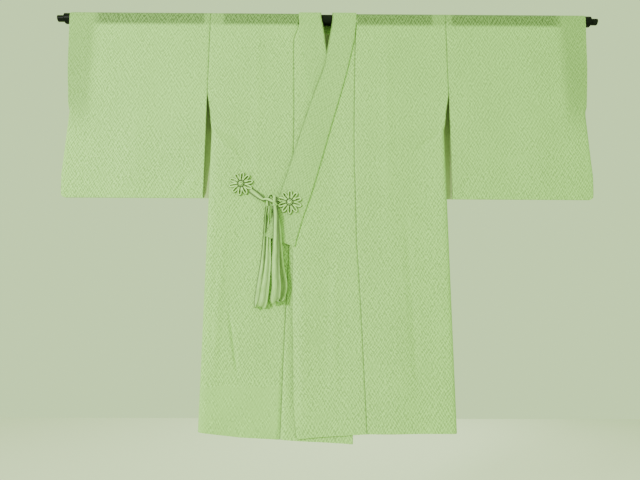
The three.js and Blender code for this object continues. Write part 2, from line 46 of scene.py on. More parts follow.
class Wire:
    """One socket of a finish. Arithmetic on it adds Math nodes; node() adds any other node."""

    def __init__(self, tree, socket=None):
        self.tree = tree
        self.socket = socket

    def node(self, kind, settings=None, inputs=None, output=0):
        made = self.tree.nodes.new(kind)
        for name, value in (settings or {}).items():
            setattr(made, name, value)
        for name, value in (inputs or {}).items():
            if isinstance(value, Wire):
                self.tree.links.new(value.socket, made.inputs[name])
            else:
                made.inputs[name].default_value = value
        return Wire(self.tree, made.outputs[output])

    def maths(self, operation, *values):
        return self.node("ShaderNodeMath", {"operation": operation}, dict(enumerate(values)))

    def __add__(self, other):
        return self.maths("ADD", self, other)

    __radd__ = __add__

    def __sub__(self, other):
        return self.maths("SUBTRACT", self, other)

    def __rsub__(self, other):
        return self.maths("SUBTRACT", other, self)

    def __mul__(self, other):
        return self.maths("MULTIPLY", self, other)

    __rmul__ = __mul__

    def sine(self):
        return self.maths("SINE", self)

    def size(self):
        return self.maths("ABSOLUTE", self)

    def between(self, low, high):
        """0 below low, 1 above high, with a soft start and end; high may be the lower one."""
        ranges = {1: low, 2: high, 3: 0.0, 4: 1.0}
        return self.node(
            "ShaderNodeMapRange", {"interpolation_type": "SMOOTHSTEP"}, {0: self, **ranges}
        )

    def tint(self, plain, dyed):
        """A colour between two, by this share."""
        return self.node(
            "ShaderNodeMix", {"data_type": "RGBA"}, {0: self, 6: plain, 7: dyed}, output=2
        )

    def parts(self):
        """The three numbers of a coordinate."""
        split = self.node("ShaderNodeSeparateXYZ", inputs={0: self})
        return [Wire(self.tree, output) for output in split.socket.node.outputs]

    def stretched(self, across, along, up):
        """A coordinate drawn out along the directions whose factor is below 1."""
        return self.node(
            "ShaderNodeVectorMath", {"operation": "MULTIPLY"}, {0: self, 1: (across, along, up)}
        )

    def grain(self, scale, detail=2.0):
        """Soft random cloud over a coordinate."""
        return self.node("ShaderNodeTexNoise", inputs={"Vector": self, "Scale": scale, "Detail": detail})


class Finish:
    """A material with its shader; what varies is linked to it, what doesn't is set on it."""

    def __init__(self, name, **constants):
        self.material = bpy.data.materials.new(name)
        self.material.use_nodes = True
        self.tree = self.material.node_tree
        self.shader = self.tree.nodes["Principled BSDF"]
        for socket, value in constants.items():
            self.shader.inputs[socket.replace("_", " ")].default_value = value

    def coordinate(self, output):
        return Wire(self.tree).node("ShaderNodeTexCoord", output=output)

    def marked(self, attribute):
        """A number that each point of the mesh carries."""
        return Wire(self.tree).node("ShaderNodeAttribute", {"attribute_name": attribute}, output=2)

    def vary(self, **wires):
        for socket, wire in wires.items():
            self.tree.links.new(wire.socket, self.shader.inputs[socket.replace("_", " ")])

    def raise_by(self, height, distance, strength=1.0):
        bump = Wire(self.tree).node(
            "ShaderNodeBump", inputs={"Height": height, "Distance": distance, "Strength": strength}
        )
        self.vary(Normal=bump)


OBJECT_SPACE = 3
OWN_UV = 2

DEEP_BLACK = (0.0035, 0.005, 0.004, 1)
DUSTY_BLACK = (0.009, 0.013, 0.009, 1)

lacquer = Finish(
    "black_lacquer", Coat_Weight=0.02, Coat_Roughness=0.1, IOR=1.5, Specular_IOR_Level=0.06
)
around_rod = lacquer.coordinate(OBJECT_SPACE)
brush = around_rod.stretched(0.06, 1.0, 1.0).grain(260.0, 3.0)
dust = around_rod.grain(34.0, 4.0)
lacquer.vary(
    Base_Color=dust.between(0.35, 0.8).tint(DEEP_BLACK, DUSTY_BLACK),
    Roughness=0.24 + 0.14 * dust + 0.08 * brush,
)
lacquer.raise_by(brush, 0.0002, 0.35)
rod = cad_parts["rod"]
rod.data.materials.clear()
rod.data.materials.append(lacquer.material)


# ---------------------------------------------------------------- Body
# Two lengths of crepe silk, one for each side, that run from the front hem over the rod to the
# back hem. They are sewn together down the back and at the sides below the armholes; the hem is
# turned up 10 cm and blind-stitched.

CLOTH = 0.0014
SEAM = 0.0003
ROD_TO_CLOTH = 0.01475
SHOULDER = 0.304
HEM = -1.026
HEM_TURN = -0.925
SLEEVE_SEAM_FOOT = -0.212
SIDE_SEAM_TOP = -0.3
SIDE_ROUND = 0.014
FLAT_EDGE = CLOTH / 2 + SEAM / 2
CLOSING = 0.012
OVER_STANDS_OUT = 0.0019
UNDER_GIVES_WAY = 0.005
HEM_FOLD = 0.0004
HEM_FOLD_SLOPE = 0.0015
ROW_STEP = 0.0055
FINE_STEP = 0.0012
FINE_REACH = 0.007
BODY_SIDE = [
    (0, SHOULDER), (SLEEVE_SEAM_FOOT, SHOULDER), (-0.256, 0.296), (-0.3, 0.291), (-0.559, 0.292),
    (-1.026, 0.294),
]
BACK_NECK = [(0, 0.073), (-0.014, 0.073), (-0.022, 0.066), (-0.027, 0.044), (-0.03, 0.00015)]
# Level, seam between body and overlap panel, edge of the panel, each for its own side.
OVER_FRONT = [
    (0, 0.072, 0.071), (-0.061, 0.07, 0.066), (-0.141, 0.068, 0.049), (-0.221, 0.0665, 0.031),
    (-0.313, 0.065, 0), (-0.39, 0.065, -0.02), (-0.469, 0.067, -0.046), (-0.597, 0.069, -0.082),
    (-0.606, 0.07, -0.078), (-0.732, 0.077, -0.078), (-0.952, 0.086, -0.073), (-1.026, 0.089, -0.065),
]
UNDER_FRONT = [
    (0, 0.076, 0.075), (-0.03, 0.077, 0.071), (-0.062, 0.088, 0.067), (-0.096, 0.088, 0.062),
    (-0.158, 0.087, 0.053), (-0.217, 0.086, 0.04), (-0.313, 0.085, 0.015), (-0.39, 0.086, -0.005),
    (-0.475, 0.089, -0.026), (-0.597, 0.094, -0.058), (-0.606, 0.094, -0.054), (-0.883, 0.104, -0.053),
    (-1.026, 0.108, -0.051),
]
OVER_HEM = [(-0.084, -1.039), (-0.03, -1.034), (0.089, -1.027), (0.294, -1.026)]
UNDER_HEM = [(-0.06, -1.05), (0.105, -1.041), (0.197, -1.035), (0.242, -1.03), (0.294, -1.024)]

# Creases left from folding, and drag lines: where each runs from and to, its width, and its depth
# towards the rod, or away from it where that is below zero.
FRONT_CREASES = [
    (-0.228, -0.775, -0.210, -0.885, 0.0034, 0.0036),
    (-0.666, -0.201, -0.618, -0.200, 0.0040, 0.0020),
    (-0.664, -0.257, -0.614, -0.255, 0.0048, 0.0022),
    (-0.291, -0.297, -0.215, -0.335, 0.0072, 0.0027),
    (-0.288, -0.315, -0.225, -0.375, 0.0080, -0.0022),
    (-0.655, -0.447, -0.610, -0.466, 0.0056, 0.0020),
    (-0.372, -0.470, -0.350, -0.432, 0.0056, 0.0023),
    (-0.350, -0.470, -0.322, -0.425, 0.0064, -0.0020),
    (0.602, -0.252, 0.652, -0.250, 0.0048, 0.0020),
    (0.610, -0.190, 0.660, -0.186, 0.0048, -0.0014),
    (0.291, -0.300, 0.228, -0.352, 0.0080, 0.0025),
    (0.330, -0.462, 0.352, -0.420, 0.0064, 0.0018),
    (0.150, -0.040, 0.146, -0.540, 0.0128, -0.0013),
    (-0.180, -0.040, -0.176, -0.440, 0.0128, -0.0011),
    (0.190, -0.560, 0.205, -0.900, 0.0096, 0.0018),
    (-0.086, -0.640, -0.076, -0.990, 0.0130, 0.0036),
    (-0.101, -0.620, -0.099, -0.745, 0.0150, 0.0030),
    (-0.068, -0.640, -0.058, -0.990, 0.0100, -0.0012),
    (0.020, -0.640, 0.012, -0.905, 0.0080, -0.0016),
    (-0.250, -0.600, -0.262, -0.880, 0.0080, -0.0014),
]
BACK_CREASES = [
    (-0.150, -0.060, -0.156, -0.520, 0.0128, 0.0018),
    (0.150, -0.060, 0.158, -0.500, 0.0128, 0.0018),
    (0.292, -0.300, 0.220, -0.380, 0.0080, 0.0029),
    (-0.292, -0.300, -0.226, -0.372, 0.0080, 0.0029),
    (0.060, -0.560, 0.070, -0.900, 0.0096, 0.0022),
    (-0.190, -0.600, -0.180, -0.890, 0.0096, -0.0022),
    (0.610, -0.220, 0.660, -0.216, 0.0048, 0.0022),
    (-0.612, -0.240, -0.662, -0.236, 0.0048, 0.0022),
    (0.330, -0.466, 0.350, -0.420, 0.0064, 0.0022),
    (-0.600, -0.466, -0.560, -0.440, 0.0064, 0.0022),
]
# Flutes that grow downwards: depth, waves across (in radians a metre), start, and slant.
FRONT_FLUTES = [(0.0011, 31, 1.3, 0.9), (0.0007, 57, 0, -2.1)]
BACK_FLUTES = [(0.0014, 27, 0.4, -1.2), (0.0008, 49, 0, 2.4)]


def ease(start, end, value):
    """Soft step from 0 at start to 1 at end."""
    share = min(1.0, max(0.0, (value - start) / (end - start)))
    return share * share * (3 - 2 * share)


def look_up(table, place, column=1):
    """A size from a table of levels, in straight lines between its rows."""
    rows = sorted(table)
    return float(np.interp(place, [row[0] for row in rows], [row[column] for row in rows]))


def relief(flutes, creases, x, z):
    """How far the hanging cloth stands back from flat."""
    depth = ease(-0.03, -0.45, z) * sum(
        deep * math.sin(waves * x + start + slant * z) for deep, waves, start, slant in flutes
    )
    for x1, z1, x2, z2, width, deep in creases:
        run = Vector((x2 - x1, z2 - z1))
        off = Vector((x - x1, z - z1))
        share = off.dot(run) / run.length_squared
        if not -0.25 < share < 1.25:
            continue
        aside = (off - run * share).length / width
        if aside < 3:
            depth += deep * math.exp(-aside * aside) * ease(-0.25, 0.2, share) * ease(1.25, 0.8, share)
    return depth


def front_relief(x, z):
    return relief(FRONT_FLUTES, FRONT_CREASES, x, z)


def back_relief(x, z):
    return relief(BACK_FLUTES, BACK_CREASES, x, z)


def front_depth(over, x, z):
    """Depth of a front before its relief; x is measured to that front's own side."""
    lap = ease(-0.02, -0.15, z) * ease(0.23, 0.095, x)
    return -ROD_TO_CLOTH + (-OVER_STANDS_OUT if over else UNDER_GIVES_WAY) * lap


def tucked(distance, depth=0.0010, width=0.0020):
    """The cloth dips where it goes into a seam."""
    return depth * math.exp(-((distance / width) ** 2))


def seam_dip(over, distance, level):
    """The dip at a panel's seam; the under one has dragged itself into a fold near the hem."""
    drag = 0.0 if over else ease(-0.80, -0.93, level)
    return tucked(distance, 0.0013 + 0.0016 * drag, 0.0019 + 0.0024 * drag)


def at_hem(table, x, z):
    """Level of a point once the cloth below the armhole is let down to its own hem line."""
    if z > SIDE_SEAM_TOP:
        return z
    let_down = (look_up(table, x) - SIDE_SEAM_TOP) / (HEM - SIDE_SEAM_TOP)
    return SIDE_SEAM_TOP + (z - SIDE_SEAM_TOP) * let_down


def hem_step(level):
    """The turned-up hem makes the cloth stand out a little."""
    return HEM_FOLD * ease(HEM_TURN + HEM_FOLD_SLOPE, HEM_TURN - HEM_FOLD_SLOPE, level)


def closed_edge(depth, from_edge, joined):
    """Depth near an edge where front and back layer meet, as far as they are joined there."""
    near = min(1.0, from_edge / SIDE_ROUND)
    met = FLAT_EDGE + (depth - FLAT_EDGE) * math.sqrt(max(0.0, 1 - (1 - near) ** 4))
    return depth + (met - depth) * joined


def over_rod(x, angle):
    return Vector((x, -ROD_TO_CLOTH * math.cos(angle), ROD_TO_CLOTH * math.sin(angle)))


def spaced(start, end, step, fine=()):
    """Places from start to end a step apart, closer together within a few mm of the fine ones."""
    places = [start]
    while places[-1] < end:
        near = any(abs(places[-1] - place) < FINE_REACH for place in fine)
        places.append(places[-1] + (FINE_STEP if near else step))
    places[-1] = end
    return places


def mark_points(piece, name, values):
    """A number at each point of the mesh, for the finish to read."""
    piece.data.attributes.new(name, "FLOAT", "POINT").data.foreach_set("value", values)


def lay_cloth(name, across, along, place, facing, finishes, thickness=CLOTH):
    """A sheet on a grid: place() gives each point, and its place on the flat cloth as its UV.
    Where facing is below zero the grid faces in, so it is turned over first."""
    bpy.ops.object.select_all(action="DESELECT")
    bpy.ops.mesh.primitive_grid_add(
        x_subdivisions=len(across) - 1, y_subdivisions=len(along) - 1, size=1, calc_uvs=True
    )
    piece = bpy.context.object
    piece.name = name
    for finish in finishes:
        piece.data.materials.append(finish)
    sides = [(place(across[0], run)[0], place(across[-1], run)[0]) for run in along]
    flat, from_side = [], []
    for vertex in piece.data.vertices:
        column = round((vertex.co.x + 0.5) * (len(across) - 1))
        row = round((vertex.co.y + 0.5) * (len(along) - 1))
        vertex.co, uv = place(across[column], along[row])
        flat.append(uv)
        from_side.append(min((vertex.co - end).length for end in sides[row]))
    mark_points(piece, "from_side", from_side)
    for loop, corner in zip(piece.data.loops, piece.data.uv_layers.active.data):
        corner.uv = flat[loop.vertex_index]
    if facing < 0:
        piece.data.flip_normals()
    wall = piece.modifiers.new("wall", "SOLIDIFY")
    wall.thickness = thickness
    wall.offset = 0
    wall.material_offset = 1
    wall.material_offset_rim = 0
    bpy.ops.object.modifier_apply(modifier=wall.name)
    fold = piece.modifiers.new("fold", "BEVEL")
    fold.width = thickness * 0.3
    fold.segments = 2
    fold.limit_method = "ANGLE"
    fold.angle_limit = math.radians(60)
    bpy.ops.object.modifier_apply(modifier=fold.name)
    bpy.ops.object.shade_smooth_by_angle(angle=math.radians(50))
    return piece


# The woven figure: strokes along two diagonals, cut across into short ones.
STROKES = 2 * math.pi / 0.0052
CUTS = 2 * math.pi / 0.0081
DIAGONAL = (0.84, 0.54)
LIGHT_SILK = (0.43, 0.76, 0.215, 1)
DARK_SILK = (0.25, 0.445, 0.132, 1)
# Painted shade colour for the dark line along seams and edges.
PAINTED_EDGE_SHADE = (0.085, 0.160, 0.043, 1)
# Painted colours of the black rod seen through the sheer silk.
ROD_THROUGH_GROUND = (0.062, 0.112, 0.036, 1)
ROD_THROUGH_FIGURE = (0.175, 0.315, 0.094, 1)
FACED_GROUND = (0.195, 0.350, 0.100, 1)
FACED_FIGURE = (0.300, 0.535, 0.152, 1)
# Where the cloth over the rod is single, between the seams' allowances and the wrist's facing.
SINGLE_CLOTH = [(0.075, 0.269), (0.320, 0.603)]


def silk(name, light, dark, on_rod=True):
    """Crepe silk with a woven pattern of hatched lozenges, on the cloth's own UV in metres."""
    dyed = Finish(name, IOR=1.45, Sheen_Weight=0.15, Sheen_Roughness=0.45, Specular_IOR_Level=0.3)
    cloth = dyed.coordinate(OWN_UV)
    x, _, z = dyed.coordinate(OBJECT_SPACE).parts()
    across, along, _ = cloth.parts()
    up = across * DIAGONAL[0] + along * DIAGONAL[1] + (cloth.grain(38.0, 1.0) - 0.5) * 0.009
    down = across * DIAGONAL[0] - along * DIAGONAL[1] + (cloth.grain(27.0, 1.0) - 0.5) * 0.009
    rising = cloth.grain(34.0, 1.0).between(0.485, 0.515)
    dashed = cloth.grain(92.0, 1.0).between(0.40, 0.56)
    strokes = rising * (up * STROKES).sine() + (1 - rising) * (down * STROKES).sine()
    cuts = rising * (down * CUTS).sine() + (1 - rising) * (up * CUTS).sine()
    broken = cloth.grain(170.0, 2.0) - 0.5
    figure = (strokes + 0.8 * cuts + 4.0 * broken).between(-0.9, 0.9)
    crepe = cloth.grain(1500.0, 2.0)
    patchy = cloth.grain(24.0, 2.0).between(0.25, 0.75)
    cloudy = cloth.grain(7.0, 2.0) - 0.5
    woven = 0.50 + 2.3 * patchy * dashed
    # Painted shade: a thin dark line along the edges stands in for the shadow where the cloth steps over a
    # seam or folds round a free edge. On the collar band it runs along the free edge, on the other pieces
    # along both sides.
    edge_shade_mask = across.between(0.0042, 0.0012)
    if on_rod:
        in_hem = z.between(HEM_TURN + 0.001, HEM_TURN - 0.001) * x.between(-0.100, -0.108)
        woven = woven * (1 - 0.6 * in_hem)
        edge_shade_mask = dyed.marked("from_side").between(0.0022, 0.0006)
    shade = 0.52 + (figure - 0.5) * woven + 0.5 * cloudy
    edge_shade_mask = edge_shade_mask * (0.45 + 0.35 * patchy)
    colour = edge_shade_mask.tint(shade.tint(dark, light), PAINTED_EDGE_SHADE)
    if on_rod:
        single = 0
        for inner, outer in SINGLE_CLOTH:
            middle, half = (inner + outer) / 2, (outer - inner) / 2
            single = single + (x.size() - middle).size().between(half + 0.005, half - 0.004)
        # Painted shade: over the rod the colour is darkened towards the black rod seen through the sheer
        # cloth, more where the cloth is single.
        sheer = (z + 0.006 * broken).between(-0.0290, -0.0170) * (0.42 + 0.46 * single)
        colour = sheer.tint(colour, figure.tint(ROD_THROUGH_GROUND, ROD_THROUGH_FIGURE))
        faced = x.size().between(0.582, 0.615) * z.between(-0.34, -0.21)
        colour = faced.tint(colour, shade.tint(FACED_GROUND, FACED_FIGURE))
    dyed.vary(Base_Color=colour, Roughness=0.7 - 0.2 * figure + 0.12 * crepe)
    dyed.raise_by(0.7 * figure * dashed + 0.35 * crepe + 0.5 * broken, 0.00030, 0.5)
    return dyed.material


crepe_silk = silk("crepe_silk", LIGHT_SILK, DARK_SILK)
# The silk's inside face is painted darker and duller for the shade inside the coat, and a faint painted glow
# stands in for the little light outside that comes through the silk and shows in the dark of the sleeves.
shaded_reverse = Finish(
    "crepe_silk_reverse_painted_shade", Roughness=0.8, IOR=1.45, Specular_IOR_Level=0.2,
    Emission_Color=(0.42, 0.72, 0.20, 1), Emission_Strength=0.03,
)
shaded_reverse_at = shaded_reverse.coordinate(OWN_UV)
shaded_reverse.vary(
    Base_Color=shaded_reverse_at.grain(160.0, 2.0).tint((0.29, 0.38, 0.17, 1), (0.39, 0.52, 0.23, 1))
)
shaded_reverse.raise_by(shaded_reverse_at.grain(1300.0, 2.0), 0.0002, 0.5)
both_sides = [crepe_silk, shaded_reverse.material]

FRONT_RUN = -HEM
ROD_RUN = math.pi * ROD_TO_CLOTH
BODY_RUN = 2 * FRONT_RUN + ROD_RUN


def level_of(run, front_run):
    """Which layer a place along the cloth is on, its level, and its angle round the rod."""
    if run < front_run:
        return "front", run - front_run, 0.0
    if run <= front_run + ROD_RUN:
        return "rod", 0.0, (run - front_run) / ROD_TO_CLOTH
    return "back", front_run + ROD_RUN - run, math.pi


def body_place(side, over, fronts, hems):
    """The place of a point of one body length; near its side, its flat place follows the fold."""
    def place(share, run):
        layer, level, angle = level_of(run, FRONT_RUN)
        turned = ease(0, math.pi, angle)
        inner = look_up(fronts, level) + SEAM / 2
        if layer == "back":
            inner = look_up(BACK_NECK, level)
        if layer == "rod":
            inner += (look_up(BACK_NECK, 0) - inner) * turned
        outer = look_up(BODY_SIDE, level) - SEAM / 2
        x = inner + (outer - inner) * share
        if layer == "rod":
            return over_rod(side * x, angle), (side * x, run)
        front = layer == "front"
        depth = -front_depth(over, x, level) if front else ROD_TO_CLOTH
        z = at_hem(hems, x if front else outer, level)
        sunk = front_relief(side * x, z) if front else back_relief(side * x, z)
        settle = ease(0.0, 0.02, outer - x) if level < SIDE_SEAM_TOP else 1.0
        depth -= sunk * settle * ease(0.0, -0.02, level)
        depth += hem_step(level)
        depth -= tucked(outer - x) if level > SLEEVE_SEAM_FOOT else 0
        depth -= seam_dip(over, x - inner, level) if front else tucked(x - inner)
        joined = ease(SIDE_SEAM_TOP + CLOSING, SIDE_SEAM_TOP - CLOSING, level)
        y = closed_edge(depth, outer - x, joined)
        return Vector((side * x, -y if front else y, z)), (side * (x + depth - y), run)

    return place


edge_shares = [0, 0.005, 0.011, 0.02, 0.035]
round_shares = [0.94, 0.953, 0.965, 0.975, 0.983, 0.99, 0.995, 0.9985, 1]
body_across = edge_shares + [0.035 + 0.0118 * step for step in range(1, 76)] + round_shares
neck_foot = FRONT_RUN + ROD_RUN + 0.024
body_along = spaced(0.0, BODY_RUN, ROW_STEP, (
    FRONT_RUN + HEM_TURN, FRONT_RUN, FRONT_RUN + ROD_RUN, neck_foot, neck_foot + 0.006,
    BODY_RUN + HEM_TURN - HEM,
))
for name, side, over, fronts, hems in [
    ("body_left_silk", 1, True, OVER_FRONT, OVER_HEM),
    ("body_right_silk", -1, False, UNDER_FRONT, UNDER_HEM),
]:
    body = lay_cloth(
        name, body_across, body_along, body_place(side, over, fronts, hems), side, both_sides
    )
    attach(body, "root")
    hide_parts(name.removesuffix("_silk"))


# ---------------------------------------------------------------- Overlap panels
# The long wedges that widen the fronts, sewn to the body on the straight side and to the collar
# on the slanted one. Below the collar's end the free edge is turned in twice and stitched.

OVERLAP_TOP = -0.021
NECK_LAP = 0.006
FREE_EDGE_TOP = -0.61
TURNED_IN = 0.010


def overlap_place(side, over, fronts, hems):
    def place(share, run):
        level = OVERLAP_TOP - run
        edge = look_up(fronts, level, 2) - NECK_LAP
        seam = look_up(fronts, level, 1) - SEAM
        x = edge + (seam - edge) * share
        z = at_hem(hems, x, level)
        depth = -front_depth(over, x, level) - front_relief(side * x, z)
        depth += hem_step(level) - seam_dip(over, seam - x, level)
        if level < FREE_EDGE_TOP:
            depth += 0.0010 * ease(TURNED_IN + 0.001, TURNED_IN - 0.001, x - edge)
        return Vector((side * x, -depth, z)), (side * x, -level)

    return place


overlap_across = (
    [0, 0.008, 0.02, 0.035, 0.05] + [0.05 + 0.0375 * step for step in range(1, 25)]
    + [0.965, 0.98, 0.99, 1]
)
OVERLAP_RUN = OVERLAP_TOP - HEM
overlap_along = spaced(0.0, OVERLAP_RUN, ROW_STEP, (OVERLAP_TOP - HEM_TURN, OVERLAP_TOP + 0.602))
for name, side, over, fronts, hems in [
    ("overlap_left_silk", 1, True, OVER_FRONT, OVER_HEM),
    ("overlap_right_silk", -1, False, UNDER_FRONT, UNDER_HEM),
]:
    overlap = lay_cloth(
        name, overlap_across, overlap_along, overlap_place(side, over, fronts, hems), -side,
        both_sides,
    )
    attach(overlap, "root")
    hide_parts(name.removesuffix("_silk"))


# ---------------------------------------------------------------- Sleeves
# One length of silk each, folded over the rod and sewn along the foot. The wrist is open above its
# seam, and the side towards the body below the armhole. A facing 45 mm wide lines the wrist.

SLEEVE_FOOT = -0.479
SLEEVE_FOOT_ROUND = 0.02
WRIST_SEAM_TOP = -0.253
WRIST_FACING = 0.605
SLEEVE_CORNER = 0.010
SLEEVE_TAPER = 0.0032
SLEEVE_RUN = -2 * SLEEVE_FOOT + ROD_RUN
WRIST_EDGE = [(0, 0.667), (-0.14, 0.66), (-0.253, 0.649), (-0.42, 0.658), (-0.479, 0.655)]


def sleeve_place(side):
    def place(share, run):
        layer, level, angle = level_of(run, -SLEEVE_FOOT)
        below_seam = ease(SLEEVE_SEAM_FOOT, SLEEVE_FOOT, level)
        inner = SHOULDER + 0.002 * below_seam + SEAM / 2
        if layer == "back" and level < SLEEVE_SEAM_FOOT:
            beside_body = 0.0015 * ease(SLEEVE_SEAM_FOOT, SLEEVE_SEAM_FOOT - 0.018, level)
            inner = look_up(BODY_SIDE, level) + beside_body + SEAM / 2
        outer = look_up(WRIST_EDGE, level)
        x = inner + (outer - inner) * share
        if layer == "rod":
            return over_rod(side * x, angle), (side * x, run)
        front = layer == "front"
        fullness = ROD_TO_CLOTH + (SLEEVE_TAPER - ROD_TO_CLOTH) * below_seam
        above = min(1.0, (level - SLEEVE_FOOT) / SLEEVE_FOOT_ROUND)
        depth = FLAT_EDGE + (fullness - FLAT_EDGE) * math.sin(above * math.pi / 2)
        sunk = front_relief(side * x, level) if front else back_relief(side * x, level)
        depth -= 0.8 * sunk * ease(0.0, -0.02, level) * ease(SLEEVE_FOOT, SLEEVE_FOOT + 0.03, level)
        depth += 0.0003 * ease(WRIST_FACING - 0.001, WRIST_FACING + 0.001, x)
        if level > SLEEVE_SEAM_FOOT:
            depth -= tucked(x - inner)
        joined = ease(WRIST_SEAM_TOP + CLOSING, WRIST_SEAM_TOP - CLOSING, level)
        folded = closed_edge(depth, outer - x, joined)
        y = max(FLAT_EDGE, folded)
        corner = max(0.0, SLEEVE_CORNER - (outer - x))
        rise = (SLEEVE_CORNER - math.sqrt(SLEEVE_CORNER**2 - corner**2)) * (1 - above)
        return Vector((side * x, -y if front else y, level + rise)), (side * (x + depth - folded), run)

    return place


sleeve_across = (
    [0, 0.004, 0.008, 0.015, 0.025] + [0.025 + 0.0135 * step for step in range(1, 60)]
    + [0.83, 0.838, 0.842, 0.846, 0.85, 0.86, 0.875, 0.89, 0.905, 0.92, 0.935, 0.95]
    + [0.962, 0.972, 0.98, 0.987, 0.993, 0.997, 0.9992, 1]
)
sleeve_along = spaced(0.0, SLEEVE_RUN, ROW_STEP, (
    0.0, 0.012, -SLEEVE_FOOT, -SLEEVE_FOOT + ROD_RUN, SLEEVE_RUN - 0.012, SLEEVE_RUN,
))
for name, side in [("sleeve_left_silk", 1), ("sleeve_right_silk", -1)]:
    sleeve = lay_cloth(name, sleeve_across, sleeve_along, sleeve_place(side), side, both_sides)
    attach(sleeve, "root")
    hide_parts(name.removesuffix("_silk"))


# ---------------------------------------------------------------- Collar
# One long band of the same silk, folded double, that runs from the end of the under front up over
# the rod, round the back of the neck and down to the end of the over front.

BAND_CLOTH = 0.0026
ON_CLOTH = 0.00255
# Free edge and seam edge, from the band's end up to the rod.
OVER_COLLAR = [
    (-0.15, -0.577, -0.0795, -0.6015), (-0.131, -0.517, -0.063, -0.539), (-0.112, -0.456, -0.043, -0.478),
    (-0.081, -0.356, -0.014, -0.376), (-0.061, -0.289, 0.004, -0.309), (-0.033, -0.201, 0.028, -0.224),
    (-0.01, -0.135, 0.047, -0.152), (-0.002, -0.087, 0.06, -0.094), (0.004, -0.054, 0.067, -0.058),
    (0.009, -0.022, 0.071, -0.024),
]
UNDER_COLLAR = [
    (-0.127, -0.578, -0.059, -0.603), (-0.094, -0.456, -0.027, -0.478), (-0.071, -0.371, -0.005, -0.391),
    (-0.05, -0.292, 0.015, -0.313), (-0.022, -0.196, 0.04, -0.217), (-0.004, -0.138, 0.054, -0.156),
    (0.005, -0.088, 0.062, -0.097), (0.009, -0.056, 0.068, -0.06), (0.014, -0.022, 0.074, -0.024),
]
COLLAR_AT_ROD = {True: (0.011, 0.073), False: (0.018, 0.076)}
# Shares of the widths at the rod, and the depths and levels, of the two edges behind it.
COLLAR_BACK = [
    (1, 0.0065, 0.0188, 1, 0.0066, 0.0159), (1, 0.011, 0.0208, 1, 0.0122, 0.0122),
    (0.95, 0.015, 0.0223, 1, 0.0159, 0.0066), (0.9, 0.0173, 0.0238, 1, 0.0174, 0),
    (0.65, 0.0185, 0.0255, 0.95, 0.0178, -0.017), (0.35, 0.0195, 0.027, 0.66, 0.0181, -0.029),
    (0, 0.02, 0.0275, 0, 0.0183, -0.034),
]
COLLAR_COLUMNS = 15
COLLAR_MIDDLE = 8
COLLAR_STEP = 0.006
END_LIFT = 0.005
BAND_LIGHT_SILK = (0.375, 0.67, 0.19, 1)


def collar_lines(over):
    """Rows of points across one half of the band, from its front end to the centre back."""
    side = 1 if over else -1
    shares = [column / COLLAR_COLUMNS for column in range(COLLAR_COLUMNS + 1)]
    at_inner, at_outer = COLLAR_AT_ROD[over]
    radius = ROD_TO_CLOTH + ON_CLOTH
    lines = []
    for inner_x, inner_z, outer_x, outer_z in OVER_COLLAR if over else UNDER_COLLAR:
        line = []
        for share in shares:
            x, z = inner_x + (outer_x - inner_x) * share, inner_z + (outer_z - inner_z) * share
            line.append(Vector((side * x, 0.0, z)))
        lines.append(line)
    for degrees in [0, 22.5, 45, 67.5, 90]:
        angle = math.radians(degrees)
        row = [at_inner + (at_outer - at_inner) * share for share in shares]
        lines.append([Vector((side * x, -radius * math.cos(angle), radius * math.sin(angle))) for x in row])
    for inner, inner_y, inner_z, outer, outer_y, outer_z in COLLAR_BACK:
        start = Vector((side * at_inner * inner, inner_y, inner_z))
        end = Vector((side * at_outer * outer, outer_y, outer_z))
        lines.append([start.lerp(end, share) for share in shares])
    return lines


def smooth_row(lines, place):
    """A row between the given ones, on smooth curves through them."""
    last = len(lines) - 1
    index = min(int(place), last - 1)
    share = place - index
    row = []
    for before, start, end, after in zip(
        lines[max(index - 1, 0)], lines[index], lines[index + 1], lines[min(index + 2, last)]
    ):
        ratio_in = (end - start).length / max((start - before).length, 1e-4)
        ratio_out = (end - start).length / max((after - end).length, 1e-4)
        lead = ((start - before) * ratio_in + (end - start)) / 2
        tail = ((end - start) + (after - end) * ratio_out) / 2
        s2, s3 = share * share, share**3
        row.append(
            start * (2 * s3 - 3 * s2 + 1) + lead * (s3 - 2 * s2 + share)
            + end * (3 * s2 - 2 * s3) + tail * (s3 - s2)
        )
    return row


band_lines = collar_lines(True) + collar_lines(False)[::-1][1:]
last_line = len(band_lines) - 1
collar_places = []
for index in range(last_line):
    gap = (band_lines[index + 1][COLLAR_MIDDLE] - band_lines[index][COLLAR_MIDDLE]).length
    steps = max(2, round(gap / COLLAR_STEP))
    collar_places += [index + step / steps for step in range(steps)]
collar_places.append(last_line)
collar_rows = [smooth_row(band_lines, place) for place in collar_places]
over_front_end, under_front_start = len(OVER_COLLAR), last_line - len(UNDER_COLLAR)
for place, row in zip(collar_places, collar_rows):
    over = place <= over_front_end
    if not over and place < under_front_start:
        continue
    if over:
        on_front = ease(over_front_end, over_front_end - 1, place)
    else:
        on_front = ease(under_front_start, under_front_start + 1, place)
    for point in row:
        own = point.x if over else -point.x
        sunk = front_relief(point.x, point.z) * ease(0, -0.02, point.z)
        depth = -front_depth(over, own, point.z) - sunk
        lift = END_LIFT * ease(-0.52, -0.575, point.z) * ease(-0.095, -0.145, own) if over else 0.0
        point.y = point.y * (1 - on_front) - (depth + ON_CLOTH + lift) * on_front
collar_run = [0.0]
for before, after in zip(collar_rows, collar_rows[1:]):
    collar_run.append(collar_run[-1] + (after[COLLAR_MIDDLE] - before[COLLAR_MIDDLE]).length)


def collar_place(column, row):
    point = collar_rows[row][column]
    across = (collar_rows[row][COLLAR_COLUMNS] - collar_rows[row][0]).length * column / COLLAR_COLUMNS
    return point, (across, collar_run[row])


